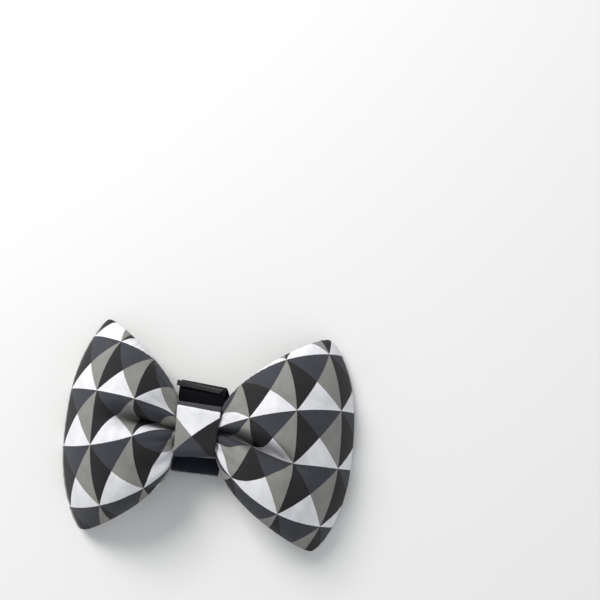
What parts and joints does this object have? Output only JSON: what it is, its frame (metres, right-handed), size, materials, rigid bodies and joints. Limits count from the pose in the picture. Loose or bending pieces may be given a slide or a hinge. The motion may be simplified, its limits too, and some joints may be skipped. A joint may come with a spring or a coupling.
{
  "type": "bow tie",
  "caption": "Slip-on cloth bow tie with padded wings, a cloth knot and a strap of hook-and-loop tape that closes round a collar.",
  "frame": {"origin": "middle of the footprint, on the surface that the bow lies on", "axes": "+X to the viewer's right along the wings, +Y up the bow, +Z out of its front"},
  "size_m": [0.1004, 0.073, 0.0264],
  "materials": {
    "printed_cotton": "matte",
    "polyester_wadding": "matte",
    "black_thread": "satin",
    "hook_tape": "satin",
    "loop_tape": "matte",
    "moulded_hooks": "satin"
  },
  "bodies": {
    "root": {"front_panel": "printed_cotton", "back_panel": "printed_cotton", "wadding": "polyester_wadding", "edge_seam_stitches": "black_thread", "gather_thread": "black_thread", "knot_wrap": "printed_cotton", "knot_closing_stitches": "black_thread", "hook_tape_end": "hook_tape", "hook_tape_seam": "black_thread", "loop_tape_end": "loop_tape", "loop_tape_seam": "black_thread"},
    "lower_arm": {"loop_tape_arm": "loop_tape"},
    "flap": {"hook_tape_flap": "hook_tape", "hook_field": "moulded_hooks"}
  },
  "joints": [
    {"name": "flap_peel", "type": "hinge", "parent": "root", "child": "flap", "pos_m": [-0.0018, 0.0117, 0.00035], "axis": [1, 0, 0], "range_deg": [0, 120]},
    {"name": "arm_flex", "type": "hinge", "parent": "root", "child": "lower_arm", "pos_m": [-0.003, -0.0108, 0.00235], "axis": [1, 0, 0], "range_deg": [-30, 0]}
  ],
  "couplings": [
    {"joint": "arm_flex", "follows": "flap_peel", "ratio": -0.25}
  ]
}
